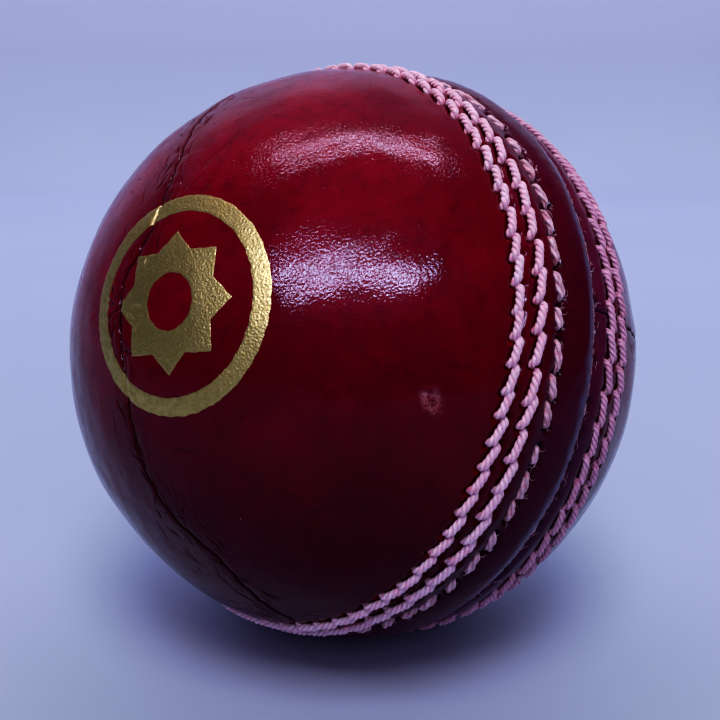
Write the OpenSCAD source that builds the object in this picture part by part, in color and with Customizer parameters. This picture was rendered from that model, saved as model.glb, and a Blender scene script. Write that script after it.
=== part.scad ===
// Four-piece leather cricket ball, built from the inside out.
// A cork nucleus is wound with five layers of worsted yarn and four layers of
// cork gores. Two lined leather cups close over it. Each cup is two quarters
// joined by a hidden quarter seam, and six rows of twisted thread run round
// the equator where the cups meet.
//
// Frame: origin at the centre of the ball, +Z up, front towards -Y, the ball
// lying as it rests. The seam axis lies in the XZ plane. Its left pole points
// to -X and is raised by seam_tilt.

/* [Ball] */
// Radius of the smooth leather (circumference 224 to 229 mm)
ball_r = 36; // [35.7:0.05:36.4]
// Rise of the left pole above the horizontal, as the ball lies
seam_tilt = 17.9; // [0:0.1:60]
// Longitude of the left cup's quarter seam, counted from the raised side
quarter_angle = 19; // [0:1:90]
// Thickness of the leather quarters
leather_t = 3.75; // [3.4:0.05:3.8]
// Clear gap between two quarters at the quarter seam
quarter_gap = 0.1; // [0.06:0.01:0.2]

/* [Seam] */
// How far the seam's middle lies from the true equator, towards the left pole
seam_shift = 0.65; // [0:0.05:1]
// Where the two cups meet, measured from the middle of the six rows
join_s = -2.15; // [-2.3:0.05:-1.6]
// Clear gap between the two cups
join_gap = 0.12; // [0.08:0.01:0.2]
// How far the rounded lip of the left cup stands above the leather
lip_rise = 0.5; // [0.2:0.05:0.6]
// Arc distance of the inner row of stitches on the left cup
row_inner_left = 3.5; // [3.3:0.05:3.6]
// Arc distance of the inner row of stitches on the right cup
row_inner_right = 3.4; // [3.4:0.05:3.7]
// Arc distance of the two middle rows
row_middle = 6.6; // [6.5:0.05:6.7]
// Arc distance of the two outer rows
row_outer = 9.55; // [9.5:0.05:9.7]

/* [Thread] */
// Diameter of the twisted seam thread
thread_d = 0.95; // [0.7:0.05:0.95]
// Stitches in each outer row
outer_count = 76; // [60:1:77]
// Stitches in each middle row
middle_count = 64; // [52:1:66]
// Stitches in each inner row
inner_count = 60; // [44:1:64]
// Stitches in each hidden quarter seam
closing_count = 27; // [15:1:31]

/* [Filling] */
// Radius of the cork nucleus
nucleus_r = 12; // [10:0.5:13]
// Clear gap between two layers
layer_gap = 0.05; // [0.03:0.01:0.08]
// Width of the slits between cork gores
gore_slit = 0.4; // [0.3:0.05:0.8]
// Thickness of the cup lining
lining_t = 1.1; // [0.8:0.05:1.1]

/* [Foil] */
// Outer radius of the foil ring
foil_r = 12; // [9:0.5:14]
// Width of the foil ring
foil_w = 1.9; // [1:0.1:3]
// Thickness of the foil and its size coat
foil_t = 0.12; // [0.1:0.01:0.2]

/* [Hidden] */
$fn = 96;

leather_red = [0.42, 0.03, 0.09];
lining_brown = [0.62, 0.42, 0.30];
thread_pink = [0.82, 0.66, 0.72];
nucleus_brown = [0.55, 0.38, 0.24];
cork_tan = [0.70, 0.50, 0.32];
yarn_cream = [0.86, 0.80, 0.68];
foil_gold = [0.72, 0.60, 0.28];

// Values for side: which cup a part belongs to.
left = 1;
right = -1;

leather_in = ball_r - leather_t;
lining_out = leather_in - layer_gap;
lining_in = lining_out - lining_t;
fill_out = lining_in - layer_gap;
mask_size = 2 * ball_r;
// Height of the join along the seam axis.
join_z = join_s + seam_shift;
// The right cup's quarter seam lies a quarter turn from the left cup's.
right_quarter_angle = quarter_angle + 90;

// Turns the seam frame (left pole along +Z) into the resting ball's frame.
module posed() { rotate([0, seam_tilt - 90, 0]) children(); }

module shell(r_out, r_in) {
    difference() {
        sphere(r = r_out);
        sphere(r = r_in);
    }
}

// Angle above the equator of a row at an arc distance from the seam's middle.
function row_angle(side, arc) = (side * arc + seam_shift) / ball_r * 180 / PI;
function row_inner(side) = side == left ? row_inner_left : row_inner_right;

// ---- Filling ----
// Thickness shares of the nine layers between the nucleus and the lining,
// from the inside out: odd layers are yarn, even layers the thinner cork.
shares = [3, 1.5, 2.6, 1.4, 2.5, 1.3, 2.4, 1.2, 3];
function share_run(n) = n == 0 ? 0 : share_run(n - 1) + shares[n - 1];
share_sum = share_run(len(shares));
function layer_out(n) = nucleus_r + (fill_out - nucleus_r) * share_run(n) / share_sum;
function layer_in(n) = layer_out(n - 1) + layer_gap;

module layer(n) { shell(layer_out(n), layer_in(n)); }

module yarn(n) { color(yarn_cream) layer(n); }

// A cork layer is six gores, split by three slits through one axis.
module cork(n, tilt, turn) {
    slit_size = 3 * ball_r;
    color(cork_tan) rotate([tilt, 0, turn]) difference() {
        layer(n);
        for (i = [0:2])
            rotate([0, 0, 60 * i])
                cube([slit_size, gore_slit, slit_size], center = true);
    }
}

// ---- Cups ----
lip_r = 6;
lip_from_join = 1.3;
// Channels under the rows: radius, and rise of their centre above the leather.
wide_channel_r = 1.45;
wide_channel_rise = 0.6;
inner_channel_r = 0.85;
inner_channel_rise = -0.1;
// Groove inside the quarter seam: radius, and its centre's depth in the leather.
groove_r = 1.05;
groove_depth = 0.2;

// Square that covers one cup's half of the profile, beyond the join gap.
module side_mask(side) {
    edge = join_z + side * join_gap / 2;
    translate([0, side == left ? edge : edge - mask_size])
        square([mask_size, mask_size]);
}

module lining(side) {
    color(lining_brown) posed() rotate_extrude() intersection() {
        difference() {
            circle(r = lining_out);
            circle(r = lining_in);
        }
        side_mask(side);
    }
}

// Round channel that a row of stitches lies in.
module channel(side, arc, r, rise) {
    rotate(row_angle(side, arc)) translate([ball_r + rise, 0]) circle(r = r);
}

// Cross-section of one cup, from the join to its pole.
module cup_profile(side) {
    difference() {
        intersection() {
            union() {
                circle(r = ball_r);
                if (side == left)
                    translate([ball_r + lip_rise - lip_r, join_z + lip_from_join])
                        circle(r = lip_r);
            }
            side_mask(side);
        }
        circle(r = leather_in);
        channel(side, row_outer, wide_channel_r, wide_channel_rise);
        channel(side, row_middle, wide_channel_r, wide_channel_rise);
        channel(side, row_inner(side), inner_channel_r, inner_channel_rise);
    }
}

// One leather quarter: half a turn of its cup, from start_angle on, with the
// groove on its inner face that holds the hidden stitches.
module quarter(side, start_angle) {
    color(leather_red) posed() rotate([0, 0, start_angle])
        translate([0, quarter_gap / 2, 0]) difference() {
            rotate_extrude(angle = 180) cup_profile(side);
            rotate([90, 0, 0]) rotate_extrude()
                translate([leather_in + groove_depth, 0]) circle(r = groove_r);
        }
}

// ---- Thread ----
closing_r = 0.27;
closing_len = 1.5;
closing_depth = 0.5; // from the leather's inner face
closing_first = 15;  // angle from the equator to the first hidden stitch

thread_r = thread_d / 2;
stitch_bend_r = 9;
// Stitches of each kind of row: lean on the right cup (opposite on the left),
// length along the bend, and height of the thread's centre above the leather.
outer_slant = 21;
outer_len = 3.35;
middle_slant = 19;
middle_len = 4.2;
inner_slant = -8;
inner_len = 2.8;
raised_height = 0.12; // outer and middle rows
inner_height = -0.35;

// Hidden stitches of a quarter seam: short bars across the seam, inside the
// groove, evenly spaced from one end of the seam over the pole to the other.
module closing_row(side, seam_angle) {
    step = (180 - 2 * closing_first) / (closing_count - 1);
    color(thread_pink) posed() rotate([0, 0, seam_angle])
        for (i = [0:closing_count - 1])
            rotate([0, -side * (closing_first + i * step), 0])
                translate([leather_in + closing_depth, 0, 0]) rotate([90, 0, 0])
                    cylinder(r = closing_r, h = closing_len, center = true);
}

// One stitch at longitude 0 on the equator: an arc of thread, highest at its
// middle, whose ends dip into the leather. It leans by slant from the row.
module stitch(slant, length, height) {
    sweep = length / stitch_bend_r * 180 / PI;
    translate([ball_r + height - stitch_bend_r, 0, 0])
        rotate([slant, 0, 0]) rotate([0, 0, -sweep / 2])
            rotate_extrude(angle = sweep)
                translate([stitch_bend_r, 0]) circle(r = thread_r, $fn = 32);
}

// A ring of stitches, the first at longitude start.
module stitch_row(side, arc, count, slant, length, height, start) {
    color(thread_pink) posed()
        for (i = [0:count - 1])
            rotate([0, 0, start + i * 360 / count])
                rotate([0, -row_angle(side, arc), 0])
                    stitch(-side * slant, length, height);
}

module outer_row(side, start) {
    stitch_row(side, row_outer, outer_count, outer_slant, outer_len, raised_height, start);
}

module middle_row(side, start) {
    stitch_row(side, row_middle, middle_count, middle_slant, middle_len, raised_height, start);
}

module inner_row(side, start) {
    stitch_row(side, row_inner(side), inner_count, inner_slant, inner_len, inner_height, start);
}

// ---- Foil ----
foil_in_r = ball_r + 0.03; // just clear of the leather
foil_out_r = foil_in_r + foil_t;
foil_longitude = -74;
foil_off_pole = 12.5;
star_side = foil_r * 0.92;
star_hole_r = foil_r * 0.26;

module foil_ring() {
    rotate_extrude() intersection() {
        difference() {
            circle(r = foil_out_r);
            circle(r = foil_in_r);
        }
        translate([foil_r - foil_w, 0]) square([foil_w, mask_size]);
    }
}

// Eight-pointed star of two squares, with a round hole in its middle.
module foil_star() {
    intersection() {
        shell(foil_out_r, foil_in_r);
        translate([0, 0, ball_r / 2]) linear_extrude(height = ball_r) difference() {
            union() for (turn = [0, 45])
                rotate(turn) square(star_side, center = true);
            circle(r = star_hole_r);
        }
    }
}

// ---- Nodes ----
module cork_nucleus() { color(nucleus_brown) sphere(r = nucleus_r); }
module yarn_winding_1() { yarn(1); }
module cork_layer_1() { cork(2, tilt = 0, turn = 0); }
module yarn_winding_2() { yarn(3); }
module cork_layer_2() { cork(4, tilt = 90, turn = 20); }
module yarn_winding_3() { yarn(5); }
module cork_layer_3() { cork(6, tilt = 45, turn = 70); }
module yarn_winding_4() { yarn(7); }
module cork_layer_4() { cork(8, tilt = 60, turn = 130); }
module yarn_winding_5() { yarn(9); }
module cup_lining_left() { lining(left); }
module cup_lining_right() { lining(right); }
module leather_quarter_left_front() { quarter(left, quarter_angle + 180); }
module leather_quarter_left_rear() { quarter(left, quarter_angle); }
module leather_quarter_right_upper() { quarter(right, right_quarter_angle - 180); }
module leather_quarter_right_lower() { quarter(right, right_quarter_angle); }
module quarter_seam_thread_left() { closing_row(left, quarter_angle); }
module quarter_seam_thread_right() { closing_row(right, right_quarter_angle); }
module seam_row_left_outer() { outer_row(left, start = 4.2); }
module seam_row_left_middle() { middle_row(left, start = 4.2); }
module seam_row_left_inner() { inner_row(left, start = 4.1); }
module seam_row_right_inner() { inner_row(right, start = 1.2); }
module seam_row_right_middle() { middle_row(right, start = 1.5); }
module seam_row_right_outer() { outer_row(right, start = 3); }

// A plain ring round the star, centred a little to the front of the left pole.
module foil_stamp() {
    color(foil_gold) posed() rotate([0, 0, foil_longitude]) rotate([0, foil_off_pole, 0]) {
        foil_ring();
        foil_star();
    }
}

cork_nucleus();
yarn_winding_1();
cork_layer_1();
yarn_winding_2();
cork_layer_2();
yarn_winding_3();
cork_layer_3();
yarn_winding_4();
cork_layer_4();
yarn_winding_5();
cup_lining_left();
cup_lining_right();
leather_quarter_left_front();
leather_quarter_left_rear();
leather_quarter_right_upper();
leather_quarter_right_lower();
quarter_seam_thread_left();
quarter_seam_thread_right();
seam_row_left_outer();
seam_row_left_middle();
seam_row_left_inner();
seam_row_right_inner();
seam_row_right_middle();
seam_row_right_outer();
foil_stamp();
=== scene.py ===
# A red leather ball of four quarters, with six rows of stitches beside its join and a foil
# stamp. It is centred on the origin and rests on a pale floor. Its seam axis points to -X, the
# left of the picture, and is raised by TILT towards +Z. The camera looks from -X -Y and above.
import math
from collections import namedtuple
from types import SimpleNamespace

import bmesh
import bpy
import numpy as np
from mathutils import Matrix, Vector


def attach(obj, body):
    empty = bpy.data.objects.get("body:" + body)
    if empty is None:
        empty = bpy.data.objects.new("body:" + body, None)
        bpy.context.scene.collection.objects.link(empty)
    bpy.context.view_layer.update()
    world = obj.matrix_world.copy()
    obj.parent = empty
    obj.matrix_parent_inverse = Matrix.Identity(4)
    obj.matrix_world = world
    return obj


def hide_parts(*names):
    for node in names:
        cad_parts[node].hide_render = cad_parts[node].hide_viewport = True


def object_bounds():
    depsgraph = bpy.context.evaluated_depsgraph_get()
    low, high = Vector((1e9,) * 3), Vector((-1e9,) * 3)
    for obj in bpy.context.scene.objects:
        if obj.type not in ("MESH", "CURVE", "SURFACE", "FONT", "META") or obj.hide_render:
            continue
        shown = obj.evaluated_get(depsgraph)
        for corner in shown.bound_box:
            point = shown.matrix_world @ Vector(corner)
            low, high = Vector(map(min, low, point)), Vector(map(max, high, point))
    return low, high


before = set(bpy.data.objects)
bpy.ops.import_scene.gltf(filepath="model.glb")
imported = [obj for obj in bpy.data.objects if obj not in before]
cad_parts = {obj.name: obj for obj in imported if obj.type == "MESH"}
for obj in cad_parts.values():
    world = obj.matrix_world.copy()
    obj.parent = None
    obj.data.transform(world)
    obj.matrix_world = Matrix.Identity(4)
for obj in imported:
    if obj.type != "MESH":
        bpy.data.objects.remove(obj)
CAD_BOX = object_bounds()

# ---------------------------------------------------------------- the ball's own frame
# Lengths are in mm. A point on the ball is an arc distance from the equator towards the left
# pole, a longitude about the seam axis, and a height above the smooth leather.
# Side 1 is the left cup and side -1 the right cup.
MM = 1e-3
RADIUS = 36.0
LINING_RADIUS = 32.27                       # inner face of the leather
POLE = RADIUS * math.pi / 2                 # arc distance of a pole
SHIFT = 0.65                                # of the join and all rows, towards the left pole
JOIN = -2.15 + SHIFT                        # arc distance where the two cups meet
TILT = math.radians(17.9)
SEAM_FRAME = np.array([[math.sin(TILT), 0.0, -math.cos(TILT)],
                       [0.0, 1.0, 0.0],
                       [math.cos(TILT), 0.0, math.sin(TILT)]])


def direction(arc, lon):
    lat = arc / RADIUS
    return np.stack([np.cos(lat) * np.cos(lon), np.cos(lat) * np.sin(lon),
                     np.sin(lat) + 0 * lon], -1)


def position(arc, lon, height):
    """Seam-frame position in mm."""
    return direction(arc, lon) * (RADIUS + height)[..., None]


def spot(arc, lon):
    """Position of a single point on the smooth leather."""
    return position(np.array(arc), np.array(lon), np.array(0.0))


def to_scene(points):
    """Seam frame in mm to the CAD frame in metres."""
    return (points @ SEAM_FRAME.T) * MM


def unit(vectors):
    return vectors / np.linalg.norm(vectors, axis=-1, keepdims=True)


def without(vectors, axis):
    """Vectors less their part along a unit axis."""
    return vectors - (vectors * axis).sum(-1, keepdims=True) * axis


def wrap(angle):
    """Angle brought between -pi and pi."""
    return (angle + math.pi) % (2 * math.pi) - math.pi


def smooth(x):
    x = np.clip(x, 0, 1)
    return x * x * (3 - 2 * x)


def bell(distance, width, power=2):
    return np.exp(-(distance / width) ** power)


def waves(seed, scale, count=26):
    """A smooth, seeded noise of about unit size that varies over scale mm."""
    rand = np.random.RandomState(seed)
    wave = rand.normal(size=(count, 3))
    wave *= ((2 * np.pi / scale) / np.linalg.norm(wave, axis=1)[:, None]
             * rand.uniform(0.55, 1.5, (count, 1)))
    phase = rand.uniform(0, 2 * np.pi, count)
    batch = 60000                           # points at a time, to bound the memory

    def noise(points):
        flat = points.reshape(-1, 3)
        out = np.zeros(len(flat))
        for i in range(0, len(flat), batch):
            out[i:i + batch] = np.sin(flat[i:i + batch] @ wave.T + phase).sum(-1)
        return (out / math.sqrt(count / 2)).reshape(points.shape[:-1])
    return noise


lump_big, lump_small = waves(1, 13.0), waves(2, 4.2)
pinch, grime, edge_noise = waves(3, 2.0), waves(4, 1.3), waves(5, 0.7)
foil_ragged = waves(77, 1.1)

# ---------------------------------------------------------------- the six rows of stitches
# scatter: of longitude (parts of the pitch), arc (mm), slant (degrees), length (fraction)
# overrun: thread past each end of a stitch; lay: length of one turn of its plies
# stray_*: share of stray fibres at the ends, scales of length and radius, root height, stain
CORD = SimpleNamespace(scatter=(0.045, 0.06, 2.0, 0.04), overrun=0.06, lay=2.2,
                       stray_at_end=0.4, stray_long=0.6, stray_thick=0.7, stray_root=0.1,
                       stray_stain=0.5)
FLUSH = SimpleNamespace(scatter=(0.10, 0.10, 4.0, 0.17), overrun=0.25, lay=4.8,
                        stray_at_end=0.75, stray_long=1.0, stray_thick=1.0, stray_root=0.0,
                        stray_stain=0.0)


class Row:
    """A ring of stitches. slant and start are in degrees, height is that of the thread's middle,
    strays counts loose fibres on each stitch, worn_top is the height a flush stitch is worn to,
    and drift lists (longitude in degrees, arc offset)."""

    def __init__(self, node, kind, arc, count, slant, length, start, seed, height, thickness,
                 strays, drift, worn_top=None):
        rand = np.random.RandomState(seed)
        self.node, self.kind, self.count, self.seed = node, kind, count, seed
        self.height, self.thickness = height, thickness
        self.strays, self.worn_top = strays, worn_top
        self.side = 1 if arc > 0 else -1
        self.middle = arc + SHIFT
        self.ring = RADIUS * math.cos(self.middle / RADIUS)
        self.pitch = 2 * math.pi / count
        self.start = math.radians(start)
        lon_scatter, arc_scatter, slant_scatter, length_scatter = kind.scatter
        self.lon = (self.start + np.arange(count) * self.pitch
                    + rand.normal(0, lon_scatter, count) * self.pitch)
        drift_lon, drift_arc = zip(*drift)
        self.arc = (self.middle + np.interp(np.degrees(self.lon), drift_lon, drift_arc, period=360)
                    + rand.normal(0, arc_scatter, count))
        self.slant = np.radians(slant + rand.normal(0, slant_scatter, count))
        self.length = length * (1 + rand.normal(0, length_scatter, count))

    def gaps(self, arc, lon):
        """Distances to the nearest stitch, nearest stitch end and nearest low-longitude end."""
        far, reach = 9.0, 3.2
        to_stitch, to_end, to_low = (np.full(arc.shape, far) for _ in range(3))
        close = np.abs(arc - self.middle) < reach
        nearest = np.round((lon[close] - self.start) / self.pitch).astype(int)
        for k in (-2, -1, 0, 1, 2):
            i = (nearest + k) % self.count
            x = wrap(lon[close] - self.lon[i]) * self.ring
            y = arc[close] - self.arc[i]
            cos, sin = np.cos(self.slant[i]), np.sin(self.slant[i])
            along, across = x * cos + y * sin, -x * sin + y * cos
            half = self.length[i] / 2
            body = np.hypot(np.maximum(np.abs(along) - half, 0), across)
            low, high = np.hypot(along + half, across), np.hypot(along - half, across)
            to_stitch[close] = np.minimum(to_stitch[close], body)
            to_end[close] = np.minimum(to_end[close], np.minimum(low, high))
            to_low[close] = np.minimum(to_low[close], low)
        return to_stitch, to_end, to_low

    def place(self, along, across, own=slice(None)):
        """Arc and longitude of points given along and across the stitches numbered own."""
        cos, sin = np.cos(self.slant[own])[:, None], np.sin(self.slant[own])[:, None]
        x, y = along * cos - across * sin, along * sin + across * cos
        return self.arc[own][:, None] + y, self.lon[own][:, None] + x / self.ring


ROWS = [
    Row("seam_row_left_outer", CORD, arc=9.55, count=76, slant=-17, length=3.3, start=4.2,
        seed=11, height=0.20, thickness=1.0, strays=1,
        drift=[(-150, -0.4), (-125, -0.3), (-88, 0.15), (-60, -0.2), (-20, -0.3), (60, 0.2),
               (140, -0.1)]),
    Row("seam_row_left_middle", CORD, arc=6.6, count=64, slant=-15, length=4.15, start=4.2,
        seed=12, height=0.20, thickness=1.0, strays=1,
        drift=[(-140, -0.1), (-122, -0.3), (-90, 0.0), (-50, -0.1), (-25, 0.2), (70, -0.1),
               (150, 0.1)]),
    Row("seam_row_left_inner", FLUSH, arc=3.5, count=60, slant=9, length=2.75, start=4.1,
        seed=13, height=-0.24, thickness=1.06, strays=5, worn_top=0.07,
        drift=[(-140, -0.5), (-108, -0.35), (-90, 0.05), (-68, 0.1), (-47, -0.35), (-25, -0.45),
               (60, 0.1), (150, -0.2)]),
    Row("seam_row_right_inner", FLUSH, arc=-3.0, count=60, slant=-8, length=2.6, start=1.2,
        seed=14, height=-0.66, thickness=0.8, strays=2, worn_top=-0.3,
        drift=[(-120, 0.0), (-60, 0.1), (60, -0.1)]),
    Row("seam_row_right_middle", CORD, arc=-6.6, count=64, slant=12, length=4.2, start=1.5,
        seed=15, height=0.20, thickness=0.84, strays=1,
        drift=[(-128, -0.6), (-112, -0.2), (-100, 0.35), (-66, 0.15), (-48, -0.3), (20, 0.1),
               (120, -0.1)]),
    Row("seam_row_right_outer", CORD, arc=-9.55, count=76, slant=13, length=3.35, start=3.0,
        seed=16, height=0.20, thickness=0.84, strays=1,
        drift=[(-120, -0.6), (-108, -0.1), (-95, -0.35), (-66, -0.1), (-50, -0.5), (20, 0.1),
               (120, 0.1)]),
]
LEFT_INNER = ROWS[2]

# ---------------------------------------------------------------- cracks between quarters
# Each cup's quarter seam is a crack of two branches that meet at the pole.
CRACK = {1: math.radians(19.0), -1: math.radians(109.0)}      # longitude of branch 0
# (side, branch): distances from the pole, and how far the crack wanders there
WANDER = {
    (1, 0): ([0, 2, 4.2, 8, 12, 17, 22, 27, 31, 40, 58],
             [0, -0.2, -0.9, -3.7, -4.4, -4.3, -2.9, -1.3, -1.0, -0.5, 0.1]),
    (1, 1): ([0, 5, 10, 16, 21, 26, 30, 34, 40, 46, 58],
             [0, 0.1, 0.1, -0.6, -0.5, 0.9, 2.9, 2.7, 2.2, 1.8, 1.2]),
    (-1, 0): ([0, 8, 18, 28, 40, 58], [0, 0.9, 0.3, -0.9, 0.4, 0.0]),
    (-1, 1): ([0, 8, 18, 28, 40, 58], [0, -0.8, 0.5, 1.0, -0.5, 0.2]),
}


def crack_offset(side, branch, from_pole):
    table = WANDER[(side, branch)]
    shifts = np.linspace(-2.2, 2.2, 9)      # a running mean rounds the table's corners
    out = np.zeros_like(from_pole)
    for shift in shifts:
        out += np.interp(np.abs(from_pole + shift), *table)
    fine = 0.10 * np.sin(from_pole * 1.9 + branch) + 0.07 * np.sin(from_pole * 4.3 + 2 * side)
    return (out / len(shifts) + fine) * smooth(from_pole / 5.0)


def crack_lon(side, branch, arc):
    ring = np.maximum(RADIUS * np.cos(arc / RADIUS), 1e-6)
    return CRACK[side] + branch * math.pi + crack_offset(side, branch, POLE - side * arc) / ring


def crack_distance(side, arc, lon):
    far, widest = 99.0, 1.35                # widest: angle in which a branch is looked for
    ring = RADIUS * np.cos(arc / RADIUS)
    best = np.full(arc.shape, far)
    for branch in (0, 1):
        turn = np.abs(wrap(lon - crack_lon(side, branch, arc)))
        best = np.minimum(best, np.where(turn < widest, turn * ring, far))
    return np.where(ring < 1.0, np.minimum(best, ring), best)


Crease = namedtuple("Crease", "centre along across half width depth bend")


def cracks_creases(rand, side, branch, count):
    """Fine creases scattered about one branch of a crack."""
    for _ in range(count):
        from_pole = rand.uniform(3, 44)
        offset = rand.normal(0, 2.6) if rand.rand() < 0.72 else rand.uniform(-8, 8)
        arc = side * (POLE - from_pole)
        lon = crack_lon(side, branch, arc) + offset / (RADIUS * math.cos(arc / RADIUS))
        centre = spot(arc, lon)
        normal = unit(centre)
        north = unit(spot(arc + 0.2, lon) - centre)
        turn = rand.normal(0.30 * side, 0.42)
        along = north * math.cos(turn) + np.cross(normal, north) * math.sin(turn)
        yield Crease(centre, along, np.cross(normal, along),
                     half=rand.uniform(0.6, 2.3), width=rand.uniform(0.08, 0.16),
                     depth=rand.uniform(0.02, 0.075) * (1.25 if abs(offset) < 3 else 0.6),
                     bend=rand.normal(0, 0.07))


def pole_pucker(rand, side, count=17):
    """Creases that radiate from a pole."""
    for i in range(count):
        lon = i * 2 * math.pi / count + rand.normal(0, 0.25)
        centre = spot(side * (POLE - rand.uniform(0.8, 3.2)), lon)
        normal = unit(centre)
        along = unit(without(np.array([math.cos(lon), math.sin(lon), 0.0]), normal))
        yield Crease(centre, along, np.cross(normal, along), half=rand.uniform(0.9, 1.9),
                     width=0.12, depth=rand.uniform(0.07, 0.14), bend=rand.normal(0, 0.1))


def make_creases():
    rand = np.random.RandomState(41)
    out = []
    for side, count in ((1, 95), (-1, 50)):
        for branch in (0, 1):
            out.extend(cracks_creases(rand, side, branch, count))
        out.extend(pole_pucker(rand, side))
    return out


CREASES = make_creases()
# arc, longitude in degrees, size, depth
NICKS = [
    (18.7, -92.3, 0.85, 0.20), (18.1, -93.6, 0.6, 0.10), (19.4, -91.3, 0.5, 0.10),
    (30.5, 60.0, 0.6, 0.10), (-25.0, 20.0, 0.7, 0.12), (-38.0, -140.0, 0.6, 0.1),
    (25.0, 140.0, 0.5, 0.1),
]

# ---------------------------------------------------------------- relief of the leather
MARKS = ("crease", "dirt", "bleed", "raw", "near", "scuff", "seat", "band", "lip_sheen")


class Patch:
    """Points on the leather of one cup, with their height and their marks for the material."""

    def __init__(self, side, arc, lon):
        self.side, self.arc, self.lon = side, arc, lon
        self.flat = position(arc, lon, np.zeros_like(arc))
        self.height = 0.050 * lump_big(self.flat) + 0.012 * lump_small(self.flat)
        self.marks = {key: np.zeros_like(arc) for key in MARKS}

    def ridge(self, distance, rise, width, where=slice(None)):
        """Raise a ridge about distance 0, or sink a groove where rise is negative."""
        self.height[where] += rise * bell(distance, width)

    def mark(self, key, value, where=slice(None)):
        """Lift a mark to at least value."""
        self.marks[key][where] = np.maximum(self.marks[key][where], value)


def tint_bands(patch):
    """The blue-grey painted sheen beside the join, a painted reflection, and the dark band under
    the rows, painted shade with a purple painted reflection.
    """
    left = patch.side > 0
    if left:
        reach = 1.75 + 0.25 * lump_small(patch.flat)
        mottle = 0.75 + 0.25 * np.clip(pinch(patch.flat), -1, 1)
        # a blue-grey painted sheen over the lip: a painted reflection of the backdrop
        patch.mark("lip_sheen", smooth((reach - (patch.arc - JOIN)) / 0.8) * mottle)
    else:
        patch.mark("lip_sheen", 0.28 * bell(patch.arc + 3.6, width=2.2, power=4))
    # the dark band: painted shade, with a purple painted reflection of the backdrop on the swollen
    # band
    patch.mark("band", bell(patch.arc + 1.0, width=8.2, power=4) * (1.0 if left else 0.6))


def shape_join(patch):
    """The swollen left band, whose lip stands over the right cup, and both rolled edges."""
    left = patch.side > 0
    if left:
        x = patch.arc + 0.15                # measured from the crest of the swelling
        crest, reach = 0.54, 3.15
        dome = crest * np.clip(1 - (x / reach) ** 2, 0, 1)
        lip = crest - 0.24 * (np.sqrt(x * x + 0.09) - 0.3)
        patch.height += np.where(x > 0, dome, lip)
        patch.ridge(patch.arc - 0.5, rise=0.010 * pinch(patch.flat), width=2.0)
    else:
        patch.height -= 0.36 * smooth((patch.arc + 3.9) / 1.3)
        patch.ridge(patch.arc + 4.1, rise=0.07, width=0.6)
    from_edge = (patch.arc - JOIN) * patch.side
    roll = 0.13                             # radius of the rolled edge
    inside = np.clip(roll - from_edge, 0, roll)
    patch.height -= roll - np.sqrt(np.maximum(roll ** 2 - inside ** 2, 0))
    rag = edge_noise(patch.flat)
    patch.ridge(from_edge, rise=0.045 * rag, width=0.22)
    raw_width = np.maximum(0.20 + 0.06 * rag, 0.07)
    patch.mark("raw", np.clip(1.5 - from_edge / raw_width, 0, 1) * (1.0 if left else 0.35))


def sink_cord_row(patch, row):
    """Leather pulled down by a row of cord."""
    gap, end_gap, low_gap = row.gaps(patch.arc, patch.lon)
    patch.ridge(gap, rise=-0.50, width=0.60)
    patch.ridge(end_gap, rise=-0.34, width=0.42)
    patch.ridge(gap - 1.15, rise=0.06, width=0.4)
    # dirt and painted shade in the trough beside each cord
    patch.mark("dirt", 0.40 * bell(gap, width=0.55))
    patch.mark("seat", bell(gap, width=0.85, power=4))
    if "outer" in row.node:                 # here the low-longitude ends face the pole
        mottle = 0.5 + 0.5 * np.clip(grime(patch.flat), -1, 1)
        patch.mark("bleed", bell(np.maximum(low_gap - 0.25, 0), width=0.42) * mottle)
    else:
        patch.mark("bleed", 0.45 * bell(end_gap, width=0.5))


def sink_flush_row(patch, row):
    """Leather pulled down by a row of flush stitches, with holes painted dark, as dirt and painted
    shade.
    """
    gap, end_gap, _ = row.gaps(patch.arc, patch.lon)
    patch.ridge(gap, rise=-0.52, width=0.47)
    patch.ridge(end_gap, rise=-0.30, width=0.40)
    patch.ridge(patch.arc - row.middle, rise=-0.10, width=0.85)
    patch.mark("seat", 0.8 * bell(gap, width=0.6, power=4))
    # the holes are painted dark, as dirt and painted shade
    holes = bell(end_gap, width=0.62) * (0.85 + 0.5 * grime(patch.flat))
    patch.mark("dirt", np.clip(holes + 0.42 * bell(gap, width=0.5), 0, 1))


def fold_band(patch):
    """Folds from the left inner row's holes up over the swollen band."""
    row = LEFT_INNER
    for i in range(row.count):
        rand = np.random.RandomState(1000 + i)
        if rand.rand() < 0.5:
            continue
        hole_lon = row.lon[i] - 0.5 * row.length[i] / row.ring
        x = wrap(patch.lon - hole_lon) * row.ring
        y = row.arc[i] - patch.arc
        close = (np.abs(x) < 6) & (np.abs(y) < 4)
        x, y = x[close], y[close]
        turn = math.radians(rand.uniform(22, 40))
        along = x * math.cos(turn) + y * math.sin(turn)
        across = -x * math.sin(turn) + y * math.cos(turn) - 0.03 * along * along
        length = rand.uniform(2.2, 4.2)
        fade = np.clip(1 - np.clip(along, 0, None) / length, 0, 1) * (along > -0.2)
        patch.ridge(across, rise=-0.055 * fade, width=0.13, where=close)
        patch.ridge(across - 0.35, rise=0.012 * fade, width=0.3, where=close)
        # the fold is painted dark through this mark: painted shade in it
        patch.mark("crease", 0.65 * bell(across, width=0.13) * fade, where=close)


def open_crack(patch):
    """The quarter seam's crack and the leather puckered beside it."""
    gap = crack_distance(patch.side, patch.arc, patch.lon)
    patch.mark("near", bell(gap, width=3.4))
    beyond_rows = smooth((np.abs(patch.arc) - 11.5) / 3)
    pucker = 0.045 * (0.6 + 0.4 * pinch(patch.flat)) * beyond_rows
    patch.ridge(gap - 1.1, rise=pucker, width=1.0)
    patch.height -= 0.28 * np.exp(-gap / 0.12)
    # the crack is painted dark through this mark: painted shade in it
    patch.mark("crease", bell(gap, width=0.21))


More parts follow.
